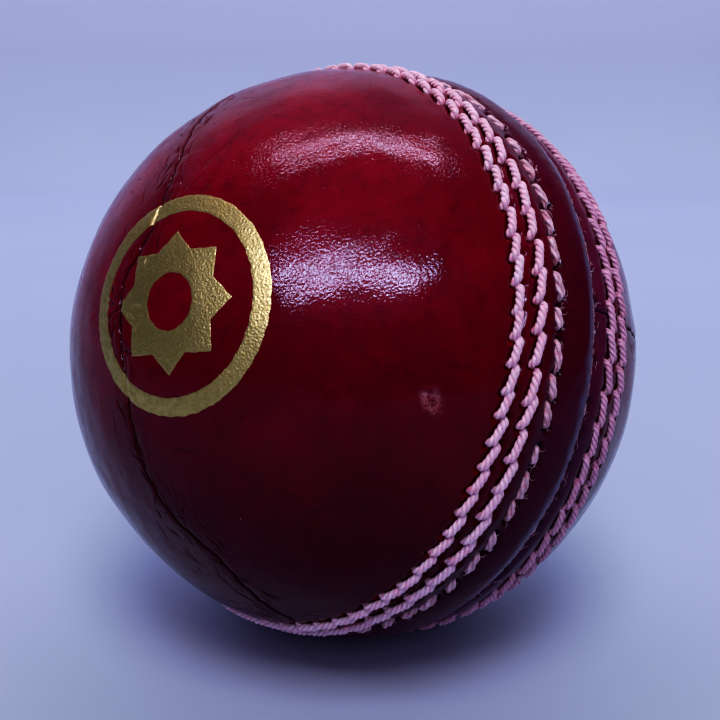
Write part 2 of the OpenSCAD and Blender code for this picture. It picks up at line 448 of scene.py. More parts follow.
def press_creases(patch):
    for crease in CREASES:
        if crease.centre[2] * patch.side < 0:
            continue
        away = patch.flat - crease.centre
        close = (away * away).sum(-1) < (crease.half + 0.8) ** 2
        along, across = away[close] @ crease.along, away[close] @ crease.across
        wiggle = 0.05 * np.sin(3.1 * along + 40 * crease.depth)
        across = across - crease.bend * along * along + wiggle
        fade = np.clip(1 - (along / crease.half) ** 2, 0, 1)
        patch.ridge(across, rise=-crease.depth * fade, width=crease.width, where=close)
        strength = min(1.0, crease.depth / 0.09)
        # each crease is painted dark through this mark: painted shade in it
        patch.mark("crease", bell(across, crease.width) * fade * strength, where=close)


def cut_nicks(patch):
    for arc, lon, size, depth in NICKS:
        if arc * patch.side < 0:
            continue
        away = np.sqrt(((patch.flat - spot(arc, math.radians(lon))) ** 2).sum(-1))
        close = away < 3
        away, dirt = away[close], grime(patch.flat[close])
        patch.ridge(away, rise=-depth * (1 + 0.5 * dirt), width=size, where=close)
        patch.ridge(away - size * 1.4, rise=0.03, width=0.25, where=close)
        patch.mark("scuff", bell(away, size) * (0.75 + 0.45 * dirt), where=close)


def leather(side, arc, lon):
    """Height of the leather and its marks at each point."""
    patch = Patch(side, arc, lon)
    tint_bands(patch)
    shape_join(patch)
    for row in ROWS:
        if row.side == side:
            (sink_cord_row if row.kind is CORD else sink_flush_row)(patch, row)
    if side > 0:
        fold_band(patch)
    open_crack(patch)
    press_creases(patch)
    cut_nicks(patch)
    return patch.height, patch.marks


# ---------------------------------------------------------------- mesh helpers
def zipper(pos_a, ids_a, pos_b, ids_b):
    """Triangles between two runs of vertices, ordered by position along them."""
    mid_a, mid_b = (pos_a[:-1] + pos_a[1:]) / 2, (pos_b[:-1] + pos_b[1:]) / 2
    order = np.argsort(np.concatenate([mid_a, mid_b]), kind="stable")
    step_a = np.concatenate([np.ones(len(mid_a), int), np.zeros(len(mid_b), int)])[order]
    step_b = 1 - step_a
    i = np.cumsum(step_a) - step_a
    j = np.cumsum(step_b) - step_b
    third = np.where(step_a == 1, ids_a[np.minimum(i + 1, len(ids_a) - 1)],
                     ids_b[np.minimum(j + 1, len(ids_b) - 1)])
    return np.stack([ids_a[i], third, ids_b[j]], -1)


def merge(parts):
    """Joins (verts, faces, value, ...) tuples and renumbers their faces."""
    verts, faces, *values = zip(*parts)
    starts = np.cumsum([0] + [len(part) for part in verts[:-1]])
    faces = [part + start for part, start in zip(faces, starts)]
    return [np.concatenate(column) for column in (verts, faces, *values)]


def new_object(name, verts, faces, marks=None):
    mesh = bpy.data.meshes.new(name)
    mesh.vertices.add(len(verts))
    mesh.vertices.foreach_set("co", verts.astype(np.float32).ravel())
    mesh.loops.add(faces.size)
    mesh.loops.foreach_set("vertex_index", faces.astype(np.int32).ravel())
    mesh.polygons.add(len(faces))
    starts = np.arange(0, faces.size, faces.shape[1], dtype=np.int32)
    mesh.polygons.foreach_set("loop_start", starts)
    mesh.polygons.foreach_set("use_smooth", np.ones(len(faces), bool))
    mesh.update(calc_edges=True)
    mesh.validate()
    for key, value in (marks or {}).items():
        kind, field = ("FLOAT", "value") if value.ndim == 1 else ("FLOAT_VECTOR", "vector")
        data = mesh.attributes.new(key, kind, "POINT").data
        data.foreach_set(field, value.astype(np.float32).ravel())
    obj = bpy.data.objects.new(name, mesh)
    bpy.context.scene.collection.objects.link(obj)
    return obj


def face_outward(obj, sharp_degrees):
    """Turns all faces outward and marks the sharp edges."""
    bm = bmesh.new()
    bm.from_mesh(obj.data)
    bmesh.ops.recalc_face_normals(bm, faces=bm.faces)
    bm.to_mesh(obj.data)
    bm.free()
    obj.data.set_sharp_from_angle(angle=math.radians(sharp_degrees))


def finish_piece(obj, material, node):
    obj.data.materials.append(material)
    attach(obj, "root")
    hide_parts(node)


# ---------------------------------------------------------------- leather quarters
CRACK_GAP = 0.035                           # from a crack's middle to the leather
NEAR_POLE = POLE * 0.99999                  # arc distance of the vertex that closes a pole
RIM_STEPS = [0.0, 0.035, 0.075, 0.13, 0.2, 0.3]       # first rings, as distances from the join
BAND_REACH, BAND_STEP, CAP_STEP = 13.6, 0.165, 0.215  # extent and ring spacing beyond them
INNER_EVERY, INNER_STEP = 8, 1.6            # rings skipped and point spacing of the inner face


def band_spacing(edge):
    """Spacing of points on a ring in the band, by their distance from the nearer crack."""
    return np.clip(0.05 + 0.35 * edge, 0.05, 0.175)


def cap_spacing(edge):
    fine = np.clip(np.where(edge < 3.5, 0.05 + 0.3 * edge, 0.05), 0.05, 0.155)
    return fine + np.clip((edge - 3.5) * 0.045, 0, 0.27)


def spaced(total, spacing):
    """Fractions along a ring of length total, set out by spacing."""
    x = np.linspace(0, total, 3000)
    density = 1 / spacing(np.minimum(x, total - x))
    run = np.concatenate([[0], np.cumsum((density[:-1] + density[1:]) / 2 * np.diff(x))])
    count = max(2, int(math.ceil(run[-1])))
    return np.interp(np.linspace(0, run[-1], count + 1), run, x) / total


def ring_distances(side):
    """Distances of the rings from the join, and where the band ends."""
    out = list(RIM_STEPS)
    while out[-1] < BAND_REACH:
        out.append(out[-1] + BAND_STEP)
    band_end = out[-1]
    rest = POLE - side * JOIN - band_end
    count = int(round(rest / CAP_STEP))
    out += list(band_end + (np.arange(1, count) / count) * rest)
    return np.array(out), band_end


def skin(rings, pole):
    """Faces over rings of (vertex numbers, fractions), closed at the pole's vertex."""
    faces = [zipper(pos_a, ids_a, pos_b, ids_b)
             for (ids_a, pos_a), (ids_b, pos_b) in zip(rings[:-1], rings[1:])]
    fan = rings[-1][0]
    faces.append(np.stack([fan[:-1], fan[1:], np.full(len(fan) - 1, pole)], -1))
    return np.concatenate(faces)


def outer_rings(side, branch, reaches, band_end):
    """Arcs, longitudes and rings of the outer face, from the join to the pole."""
    arcs, lons, rings = [], [], []
    last_zone, last_total, fractions = None, None, None
    for reach in reaches:
        arc = JOIN + side * reach
        start = crack_lon(side, branch, arc)
        end = crack_lon(side, 1 - branch, arc) + branch * 2 * math.pi
        ring = RADIUS * math.cos(arc / RADIUS)
        gap = CRACK_GAP / ring if ring > 0.3 else 0.0
        start, end = start + gap, end - gap
        total = (end - start) * ring
        zone = band_spacing if reach <= band_end else cap_spacing
        # points keep their fractions until the rings have shrunk enough to thin them
        if zone is not last_zone or total < last_total * 0.72:
            last_zone, last_total, fractions = zone, total, spaced(total, zone)
        rings.append((len(arcs) + np.arange(len(fractions)), fractions))
        arcs.extend([arc] * len(fractions))
        lons.extend(start + (end - start) * fractions)
    arcs.append(side * NEAR_POLE)
    lons.append(lons[-1])
    return np.array(arcs), np.array(lons), rings


def inner_rings(side, picked, arc, lon, outer, first_vertex):
    """Arcs, longitudes and rings of the coarse inner face, below the picked outer rings."""
    arcs, lons, rings = [], [], []
    for k in picked:
        ids = outer[k][0]
        ring_arc, span = arc[ids[0]], lon[ids[-1]] - lon[ids[0]]
        count = max(2, int(span * RADIUS * math.cos(ring_arc / RADIUS) / INNER_STEP))
        fractions = np.linspace(0, 1, count + 1)
        rings.append((first_vertex + len(arcs) + np.arange(count + 1), fractions))
        arcs.extend([ring_arc] * (count + 1))
        lons.extend(lon[ids[0]] + span * fractions)
    arcs.append(side * NEAR_POLE)
    lons.append(lons[-1])
    return np.array(arcs), np.array(lons), rings


def quarter(node, side, branch, material):
    """One quarter from its join to its pole, between the two branches of its crack."""
    reaches, band_end = ring_distances(side)
    arc, lon, outer = outer_rings(side, branch, reaches, band_end)
    height, marks = leather(side, arc, lon)
    outer_pole = len(arc) - 1
    last = len(reaches) - 1
    picked = sorted({*range(0, last + 1, INNER_EVERY), last})
    in_arc, in_lon, inner = inner_rings(side, picked, arc, lon, outer, len(arc))
    inner_pole = len(arc) + len(in_arc) - 1
    faces = [skin(outer, outer_pole), skin(inner, inner_pole)[:, ::-1]]
    # the wall along the join, then a wall along each crack
    (out_ids, out_pos), (in_ids, in_pos) = outer[0], inner[0]
    faces.append(zipper(in_pos, in_ids, out_pos, out_ids))
    beyond = reaches[-1] + 0.2              # sorts the pole after the last ring
    out_pos, in_pos = np.append(reaches, beyond), np.append(reaches[picked], beyond)
    for end in (0, -1):
        out_ids = np.array([ids[end] for ids, _ in outer] + [outer_pole])
        in_ids = np.array([ids[end] for ids, _ in inner] + [inner_pole])
        strip = zipper(out_pos, out_ids, in_pos, in_ids)
        faces.append(strip if end == 0 else strip[:, ::-1])
    verts = np.concatenate([position(arc, lon, height),
                            direction(in_arc, in_lon) * LINING_RADIUS])
    marks = {key: np.concatenate([value, np.full(len(in_arc), 1.0 if key == "raw" else 0.0)])
             for key, value in marks.items()}
    obj = new_object("visual_" + node, to_scene(verts), np.concatenate(faces), marks)
    face_outward(obj, sharp_degrees=58)
    finish_piece(obj, material, node)


# ---------------------------------------------------------------- twisted thread
STATIONS = 34                               # along a stitch
PLIES, PLY_SIDES = 3, 9
PLY_OFFSET, PLY_RADIUS = 0.225, 0.255       # of a ply, for a thread of thickness 1
STRAY_STATIONS, STRAY_SIDES = 7, 4


def tube(path, radius, sides, up):
    """Closed tubes along many paths at once: path (count, steps, 3), radius (count, steps).
    Gives verts, faces, angle about and distance along each tube, and vertices per tube."""
    count, steps = path.shape[:2]
    tangent = unit(np.gradient(path, axis=1))
    normal = unit(without(up, tangent))
    side = np.cross(tangent, normal)
    angle = np.arange(sides) * 2 * np.pi / sides
    cos, sin = np.cos(angle)[:, None], np.sin(angle)[:, None]
    around = cos * normal[:, :, None] + sin * side[:, :, None]
    verts = (path[:, :, None] + radius[:, :, None, None] * around).reshape(count, -1, 3)
    verts = np.concatenate([verts, path[:, [0, -1]]], 1)
    per_tube = steps * sides + 2
    i, j = (grid.ravel() for grid in np.meshgrid(np.arange(steps - 1), np.arange(sides),
                                                 indexing="ij"))
    following = (j + 1) % sides
    near, near_next = i * sides + j, i * sides + following
    far, far_next = near + sides, near_next + sides
    j = np.arange(sides)
    following = (j + 1) % sides
    last = (steps - 1) * sides
    tris = np.concatenate([
        np.stack([near, near_next, far_next], -1), np.stack([near, far_next, far], -1),
        np.stack([following, j, np.full(sides, per_tube - 2)], -1),
        np.stack([last + j, last + following, np.full(sides, per_tube - 1)], -1)])
    faces = (tris[None] + (np.arange(count) * per_tube)[:, None, None]).reshape(-1, 3)
    run = np.concatenate([[0], np.cumsum(np.linalg.norm(np.diff(path[0], axis=0), axis=1))])
    angles = np.tile(np.concatenate([np.tile(angle, steps), [0, 0]]), count)
    runs = np.tile(np.concatenate([np.repeat(run, sides), [run[0], run[-1]]]), count)
    return verts.reshape(-1, 3), faces, angles, runs, per_tube


def stitch_paths(row, rand):
    """Centre line and thickness of each stitch. The ends dive into their holes."""
    count = row.count
    half = row.length[:, None] / 2 + row.kind.overrun
    along = np.linspace(-1, 1, STATIONS)[None] * half
    to_end = np.abs(along) / half           # 0 at the middle, 1 at the ends
    if row.kind is FLUSH:
        height = (row.height - 0.45 * smooth((to_end - 0.55) / 0.45)
                  + rand.normal(0, 0.04, (count, 1)))
        taper = 1 - 0.70 * to_end ** 2.4
        size = row.thickness * taper * (1 + rand.normal(0, 0.08, (count, 1)))
    else:
        height = (row.height - 0.66 * smooth((to_end - 0.50) / 0.50) ** 1.3
                  + rand.normal(0, 0.025, (count, 1)))
        rounding = np.sqrt(1 - np.clip((to_end - 0.66) / 0.34, 0, 1) ** 2)
        size = row.thickness * (0.34 + 0.68 * rounding)
    sway = 0.10 * np.sin(along / half * 2.4) * rand.uniform(0.3, 1.2, (count, 1))
    across = sway + rand.normal(0, 0.03, (count, 1)) * (1 - to_end ** 2)
    return position(*row.place(along, across), height), size


def roughen(row, verts):
    """Fuzz, and the worn flat top of a flush stitch."""
    if row.kind is CORD:
        return verts * (1 + 0.0003 * edge_noise(verts * 1.7))[:, None]
    radius = np.linalg.norm(verts, axis=1)
    top = RADIUS + row.worn_top + 0.05 * grime(verts)
    worn = np.where(radius > top, top + (radius - top) * 0.35, radius)
    return verts * ((worn + 0.018 * edge_noise(verts * 2.4)) / radius)[:, None]


def plies(row, rand, path, size):
    """The plies of every stitch, each as verts, faces, fib, a mask of stains and of painted shade
    low on the thread, and a mask of painted shade in the grooves between plies.
    """
    count = row.count
    tangent = unit(np.gradient(path, axis=1))
    normal = unit(without(unit(path), tangent))
    side = np.cross(tangent, normal)
    steps = np.linalg.norm(np.diff(path, axis=1), axis=-1)
    run = np.cumsum(np.concatenate([np.zeros((count, 1)), steps], 1), 1)
    start = rand.uniform(0, 2 * np.pi, (count, 1))
    tone = np.clip(rand.normal(0.25, 0.18, count), 0, 0.8)
    for ply in range(PLIES):
        angle = start - 2 * np.pi * run / row.kind.lay + ply * 2 * np.pi / PLIES
        out = np.cos(angle)[..., None] * normal + np.sin(angle)[..., None] * side
        centre = path + (PLY_OFFSET * size)[..., None] * out
        radius = PLY_RADIUS * size * (1 + rand.normal(0, 0.03, (count, 1)))
        verts, faces, around, along, per_tube = tube(centre, radius, PLY_SIDES, out)
        verts = roughen(row, verts)
        own = np.repeat(np.arange(count), per_tube)
        fib = np.stack([around / (2 * np.pi), along, own * 1.7 + ply * 0.31], -1)
        # stains differ by stitch and gather in patches; the darkening low on the thread, next to
        # the leather, is painted shade
        low = np.clip((0.35 - (np.linalg.norm(verts, axis=1) - RADIUS)) / 0.9, 0, 1)
        blotch = smooth(grime(verts * 0.8) - 0.55)
        stain_and_shade = np.clip(tone[own] * 0.45 + 0.60 * low ** 1.3 + 0.65 * blotch * (0.3 + low), 0, 1)
        # the grooves between plies are the parts near the centre line, and they get painted shade
        rings = verts.reshape(count, -1, 3)[:, :-2]
        outness = (np.linalg.norm(rings - np.repeat(path, PLY_SIDES, 1), axis=2)
                   / (0.5 * np.repeat(size, PLY_SIDES, 1)))
        groove_shade = np.clip(0.62 - 1.5 * (outness - 0.55), 0, 1)
        groove_shade = np.concatenate([groove_shade, np.ones((count, 2))], 1).ravel()
        yield verts, faces, fib, stain_and_shade, groove_shade


def stray_fibres(row):
    kind = row.kind
    count = row.strays * row.count
    own = np.tile(np.arange(row.count), row.strays)
    rand = np.random.RandomState(row.seed + 900)
    root = np.where(rand.rand(count) < kind.stray_at_end,
                    np.sign(rand.normal(size=count)) * rand.uniform(0.75, 1.05, count),
                    rand.uniform(-0.8, 0.8, count))
    root_along = (root * row.length[own] / 2)[:, None]
    root_across = rand.normal(0, 0.22, count)[:, None]
    heading = rand.uniform(0, 2 * np.pi, count)[:, None]
    length = rand.uniform(0.35, 1.15, count)[:, None] * kind.stray_long
    curl = rand.normal(0, 0.9, count)[:, None]
    t = np.linspace(0, 1, STRAY_STATIONS)
    along = root_along + length * t * np.cos(heading + curl * t)
    across = root_across + length * t * np.sin(heading + curl * t)
    arch = rand.uniform(0.02, 0.26, count)[:, None] * np.sin(t * 2.6)
    lift = arch + kind.stray_root * (1 - t) - 0.06
    path = position(*row.place(along, across, own), lift)
    radius = (rand.uniform(0.014, 0.026, count) * kind.stray_thick)[:, None] * (1.1 - 0.75 * t)
    verts, faces, around, run, per_tube = tube(path, radius, STRAY_SIDES, unit(path))
    fib = np.stack([around / (2 * np.pi), run, np.repeat(own, per_tube) * 1.7], -1)
    stain_and_shade = np.repeat(rand.uniform(0, 0.5, count) + kind.stray_stain, per_tube)
    return verts, faces, fib, stain_and_shade, np.zeros(len(verts))


def stitch_row(row, material):
    rand = np.random.RandomState(row.seed + 500)
    path, size = stitch_paths(row, rand)
    parts = [*plies(row, rand, path, size), stray_fibres(row)]
    verts, faces, fib, stain_and_shade, groove_shade = merge(parts)
    obj = new_object("visual_" + row.node, to_scene(verts), faces,
                     {"fib": fib, "stain_and_shade": stain_and_shade, "groove_shade": groove_shade})
    finish_piece(obj, material, row.node)


# ---------------------------------------------------------------- foil stamp
# A ring about an eight-pointed star with a round hole, tipped off the left pole.
FOIL_LON, FOIL_TIP = math.radians(-74), math.radians(12.5)
FOIL_RADIUS, FOIL_RING_WIDTH = 12.0, 1.9
STAR_HALF_SIDE = FOIL_RADIUS * 0.92 / 2     # of the two squares that make the star
STAR_HOLE = FOIL_RADIUS * 0.26
FOIL_POINTS = 480                           # around each outline
FOIL_TOP, FOIL_RIM, FOIL_UNDER = 0.045, 0.02, -0.05   # heights above the leather


def foil_band(inner, outer, steps):
    """A closed band between two radii, as (verts, faces, edge)."""
    cos_lon, sin_lon = math.cos(FOIL_LON), math.sin(FOIL_LON)
    cos_tip, sin_tip = math.cos(FOIL_TIP), math.sin(FOIL_TIP)
    turn = (np.array([[cos_lon, -sin_lon, 0], [sin_lon, cos_lon, 0], [0, 0, 1.0]])
            @ np.array([[cos_tip, 0, sin_tip], [0, 1, 0], [-sin_tip, 0, cos_tip]]))
    theta = np.arange(FOIL_POINTS) * 2 * np.pi / FOIL_POINTS
    t = np.linspace(0, 1, steps + 1)
    from_middle = np.abs(2 * t - 1)         # 1 at both rims of the band
    radius = inner + (outer - inner) * t[:, None]
    flat = np.stack([radius * np.cos(theta), radius * np.sin(theta), 0 * radius], -1)
    radius = radius + 0.03 * foil_ragged(flat) * from_middle[:, None] ** 6
    x, y = radius * np.cos(theta), radius * np.sin(theta)
    z = np.sqrt(RADIUS * RADIUS - x * x - y * y)
    facing = np.stack([x, y, z], -1) @ turn.T / RADIUS
    arc = RADIUS * np.arcsin(np.clip(facing[..., 2], -1, 1))
    lon = np.arctan2(facing[..., 1], facing[..., 0])
    height = leather(1, arc.ravel(), lon.ravel())[0].reshape(arc.shape)
    lift = np.where(from_middle > 0.999, FOIL_RIM, FOIL_TOP)[:, None]
    verts = np.concatenate([(facing * (RADIUS + height + rise)[..., None]).reshape(-1, 3)
                            for rise in (lift, FOIL_UNDER)])
    ids = np.arange((steps + 1) * FOIL_POINTS).reshape(steps + 1, FOIL_POINTS)
    near, far = ids[:-1], ids[1:]
    quads = np.stack([near, np.roll(near, -1, 1), np.roll(far, -1, 1), far], -1).reshape(-1, 4)
    faces = [quads[:, ::-1], quads + ids.size]
    for k in (0, steps):
        top, low = ids[k], ids[k] + ids.size
        wall = np.stack([top, np.roll(top, -1), np.roll(low, -1), low], -1)
        faces.append(wall if k == 0 else wall[:, ::-1])
    edge = np.tile(np.repeat(from_middle ** 8, FOIL_POINTS), 2)
    return verts, np.concatenate(faces), edge


def foil(material):
    theta = np.arange(FOIL_POINTS) * 2 * np.pi / FOIL_POINTS
    squares = [STAR_HALF_SIDE / np.maximum(np.abs(np.cos(theta - turn)),
                                           np.abs(np.sin(theta - turn)))
               for turn in (0, math.pi / 4)]
    rim = np.full(FOIL_POINTS, FOIL_RADIUS)
    verts, faces, edge = merge([
        foil_band(inner=FOIL_RADIUS - FOIL_RING_WIDTH, outer=rim, steps=12),
        foil_band(inner=STAR_HOLE, outer=np.maximum(*squares), steps=30)])
    obj = new_object("visual_foil_stamp", to_scene(verts), faces, {"edge": edge})
    face_outward(obj, sharp_degrees=60)
    finish_piece(obj, material, "foil_stamp")


# ---------------------------------------------------------------- materials
class Shader:
    """A short way to write node trees. Texture scales are per mm."""

    def __init__(self, name):
        self.material = bpy.data.materials.new(name)
        self.material.use_nodes = True
        self.tree = self.material.node_tree
        self.tree.nodes.clear()
        output = self.add("ShaderNodeOutputMaterial", {})
        self.bsdf = self.add("ShaderNodeBsdfPrincipled", {})
        self.put(output.inputs[0], self.bsdf.outputs[0])
        coords = self.add("ShaderNodeTexCoord", {})
        self.mm = self.scaled(coords.outputs["Object"], (1000, 1000, 1000))

    def put(self, socket, value):
        if isinstance(value, bpy.types.NodeSocket):
            self.tree.links.new(value, socket)
        else:
            socket.default_value = value

    def add(self, kind, inputs, **settings):
        node = self.tree.nodes.new(kind)
        for key, value in settings.items():
            setattr(node, key, value)
        for key, value in inputs.items():
            self.put(node.inputs[key], value)
        return node

    def noise(self, scale, detail=3.0, rough=0.55, vector=None):
        return self.add("ShaderNodeTexNoise", {
            "Vector": vector or self.mm, "Scale": scale, "Detail": detail,
            "Roughness": rough}).outputs["Fac"]

    def voronoi(self, scale, feature="F1", out="Distance"):
        return self.add("ShaderNodeTexVoronoi", {"Vector": self.mm, "Scale": scale},
                        feature=feature).outputs[out]

    def cell_value(self, scale):
        """A random value for each Voronoi cell."""
        colour = self.voronoi(scale, out="Color")
        return self.add("ShaderNodeSeparateColor", {0: colour}).outputs[0]

    def calc(self, operation, a, b, clamp=False):
        return self.add("ShaderNodeMath", {0: a, 1: b}, operation=operation,
                        use_clamp=clamp).outputs[0]

    def times(self, a, b):
        return self.calc("MULTIPLY", a, b)

    def plus(self, a, b, clamp=False):
        return self.calc("ADD", a, b, clamp)

    def ramp(self, value, low, high, at_low=0.0, at_high=1.0):
        return self.add("ShaderNodeMapRange", {
            "Value": value, "From Min": low, "From Max": high, "To Min": at_low,
            "To Max": at_high}, interpolation_type="SMOOTHSTEP").outputs[0]

    def patches(self, low, high, at_low=0.0, at_high=1.0, **noise):
        """Noise ramped between two of its levels."""
        return self.ramp(self.noise(**noise), low, high, at_low, at_high)

    def mix(self, factor, first, second):
        first, second = ((*c, 1.0) if isinstance(c, tuple) else c for c in (first, second))
        return self.add("ShaderNodeMix", {0: factor, 6: first, 7: second},
                        data_type="RGBA").outputs[2]

    def tint(self, tone, colour, mask, amount):
        """Tone turned towards a colour by a mask, as far as amount."""
        return self.mix(self.times(mask, amount), tone, colour)

    def attr(self, name, out="Fac"):
        return self.add("ShaderNodeAttribute", {}, attribute_name=name).outputs[out]

    def scaled(self, vector, scale):
        return self.add("ShaderNodeMapping", {0: vector, "Scale": scale}).outputs[0]

    def upward(self):
        """Height above the ball's centre."""
        return self.add("ShaderNodeSeparateXYZ", {0: self.mm}).outputs[2]

    def bump(self, height, distance, strength=1.0, normal=None):
        """Relief, with height in units of distance (mm)."""
        inputs = {"Strength": strength, "Distance": distance * MM, "Height": height}
        if normal is not None:
            inputs["Normal"] = normal
        return self.add("ShaderNodeBump", inputs).outputs[0]

    def set(self, **values):
        for key, value in values.items():
            self.put(self.bsdf.inputs[key.replace("_", " ")], value)


def pebble(mat):
    """The fine grain of lacquered leather, about 0.2 mm across."""
    cells = mat.voronoi(scale=3.8, feature="SMOOTH_F1")
    fine = mat.noise(scale=6.6, detail=2.0, rough=0.6)
    broad = mat.noise(scale=1.3, detail=2.0, rough=0.5)
    grain = mat.plus(mat.times(cells, 0.9), mat.times(fine, 0.38))
    return mat.plus(grain, mat.times(broad, 0.26))


def leather_material():
    mat = Shader("red_leather")
    # base red, mottled, with painted shade that darkens it towards the bottom of the ball
    tone = mat.mix(mat.patches(scale=0.085, detail=4.0, rough=0.6, low=0.35, high=0.7),
                   (0.180, 0.0006, 0.0170), (0.27, 0.0012, 0.0220))
    blotches = mat.patches(scale=0.62, detail=5.0, rough=0.65, low=0.45, high=0.8)
    tone = mat.tint(tone, (0.060, 0.0010, 0.0110), blotches, amount=0.45)
    # painted shade: the lower half of the ball is painted darker
    upward = mat.upward()
    below = mat.calc("SUBTRACT", 1.0, mat.ramp(upward, low=-22.0, high=22.0))
    tone = mat.tint(tone, (0.028, 0.0008, 0.0080), below, amount=0.80)
    # creases, and a web of crackle beside the quarter seams; the creases and crackle lines are
    # painted dark, as painted shade in their grooves
    near, crease = mat.attr("near"), mat.attr("crease")
    cell_edge = mat.voronoi(scale=0.62, feature="DISTANCE_TO_EDGE")
    web = mat.times(mat.ramp(cell_edge, low=0.0, high=0.035, at_low=1.0, at_high=0.0),
                    mat.patches(scale=0.30, detail=2.0, low=0.5, high=0.66))
    web = mat.times(web, mat.ramp(near, low=0.25, high=0.8))
    shaded_lines = mat.calc("MAXIMUM", crease, mat.times(web, 0.6), clamp=True)
    tone = mat.tint(tone, (0.012, 0.002, 0.004), shaded_lines, amount=0.85)
    tone = mat.tint(tone, (0.062, 0.004, 0.012), near, amount=0.35)
    # the dark band of painted shade and purple painted reflection, the blue-grey painted sheen
    # beside the join, bleeding, and dirt with painted shade at the stitches
    tone = mat.tint(tone, (0.055, 0.004, 0.024), mat.attr("band"), amount=0.72)
    # a blue-grey painted sheen beside the join: a painted reflection of the backdrop
    lip_sheen = mat.times(mat.attr("lip_sheen"), mat.patches(
        scale=0.8, detail=4.0, rough=0.65, low=0.25, high=0.65, at_low=0.65))
    tone = mat.tint(tone, (0.105, 0.070, 0.165), lip_sheen, amount=0.80)
    tone = mat.tint(tone, (0.48, 0.010, 0.015), mat.attr("bleed"), amount=0.75)
    # dirt and painted shade, darkest in the troughs beside the stitches and in their holes
    dirt = mat.times(mat.attr("dirt"), mat.patches(
        scale=2.2, detail=4.0, rough=0.7, low=0.30, high=0.62, at_low=0.45))
    tone = mat.mix(dirt, tone, (0.016, 0.007, 0.006))
    # pits near the cracks, painted dark as painted shade in them
    shaded_pits = mat.ramp(mat.voronoi(scale=0.9), low=0.035, high=0.07, at_low=1.0, at_high=0.0)
    shaded_pits = mat.times(shaded_pits, mat.ramp(near, low=0.35, high=0.9))
    tone = mat.mix(shaded_pits, tone, (0.01, 0.002, 0.003))
    # bare leather at the cut edges and nicks
    raw = mat.times(mat.attr("raw"), mat.patches(
        scale=2.6, detail=3.0, rough=0.7, low=0.3, high=0.6, at_low=0.25))
    tone = mat.mix(raw, tone, (0.66, 0.30, 0.38))
    scuff = mat.times(mat.attr("scuff"), mat.patches(
        scale=3.4, detail=3.0, rough=0.7, low=0.36, high=0.56))
    tone = mat.mix(scuff, tone, (0.62, 0.22, 0.27))
    # specks of dust, in a few of the cells
    speck = mat.ramp(mat.voronoi(scale=0.36), low=0.026, high=0.038, at_low=1.0, at_high=0.0)
    speck = mat.times(speck, mat.ramp(mat.cell_value(scale=0.36), low=0.955, high=0.96))
    tone = mat.tint(tone, (0.55, 0.36, 0.32), speck, amount=0.55)
    # marks roughen the leather and take away its lacquer
    rough = mat.patches(scale=0.45, detail=4.0, rough=0.6, low=0.3, high=0.75,
                        at_low=0.27, at_high=0.40)
    marked = mat.plus(shaded_lines, mat.plus(dirt, raw))
    rough = mat.plus(rough, mat.times(marked, 0.35), clamp=True)
    bare = mat.plus(mat.plus(raw, shaded_lines), mat.plus(mat.attr("seat"), scuff))
    coat = mat.calc("SUBTRACT", 0.70, mat.times(bare, 0.65), clamp=True)
    # the grain is stronger at the top of the ball and towards the picture's left
    by_height = mat.ramp(upward, low=10.0, high=21.0, at_low=0.68, at_high=1.30)
    by_patch = mat.patches(scale=0.07, detail=2.0, low=0.40, high=0.62, at_low=0.85,
                           at_high=1.15)
    relief = mat.times(pebble(mat), mat.times(by_height, by_patch))
    rightward = mat.add("ShaderNodeVectorMath", {0: mat.mm, 1: (0.744, -0.668, 0.0)},
                        operation="DOT_PRODUCT").outputs["Value"]
    relief = mat.times(relief, mat.ramp(rightward, low=-9.0, high=9.0, at_low=1.25,
                                        at_high=0.85))
    normal = mat.bump(relief, distance=0.0200)
    normal = mat.bump(mat.times(shaded_lines, -1.0), distance=0.05, normal=normal)
    normal = mat.bump(mat.times(shaded_pits, -1.0), distance=0.05, normal=normal)
    mat.set(Base_Color=tone, Roughness=rough, Normal=normal, Coat_Normal=normal,
            Coat_Weight=coat, Coat_Roughness=0.06, Coat_IOR=1.30, Specular_IOR_Level=0.02)
    return mat.material


def thread_material(name, base, stained, shade):
    mat = Shader(name)
    # "fib" holds turns about the ply, mm along it and a number for the ply
    fib = mat.scaled(mat.attr("fib", "Vector"), (15.0, 1.1, 9.0))
    strands = mat.noise(scale=1.0, detail=3.0, rough=0.6, vector=fib)
    fuzz = mat.noise(scale=3.4, detail=4.0, rough=0.7)
    tone = mat.mix(mat.ramp(strands, low=0.30, high=0.62), shade, base)
    bright = tuple(min(1, x * 1.12) for x in base)
    tone = mat.tint(tone, bright, mat.ramp(fuzz, low=0.52, high=0.75), amount=0.35)
    # this mark holds real stains and painted shade low on the thread
    stain_and_shade = mat.times(mat.attr("stain_and_shade"), mat.patches(
        scale=0.9, detail=3.0, rough=0.6, low=0.25, high=0.7, at_low=0.35))
    tone = mat.mix(stain_and_shade, tone, stained)
    # painted shade in the grooves between plies
    dark = tuple(x * 0.35 for x in stained)
    tone = mat.tint(tone, dark, mat.attr("groove_shade"), amount=0.85)
    normal = mat.bump(strands, distance=0.085)
    normal = mat.bump(fuzz, distance=0.035, strength=0.7, normal=normal)
    rough = mat.ramp(strands, low=0.3, high=0.7, at_low=0.62, at_high=0.42)
    mat.set(Base_Color=tone, Roughness=rough, Normal=normal, Sheen_Weight=0.25,
            Sheen_Roughness=0.4, Specular_IOR_Level=0.45)
    mat.bsdf.subsurface_method = "RANDOM_WALK"
    return mat.material


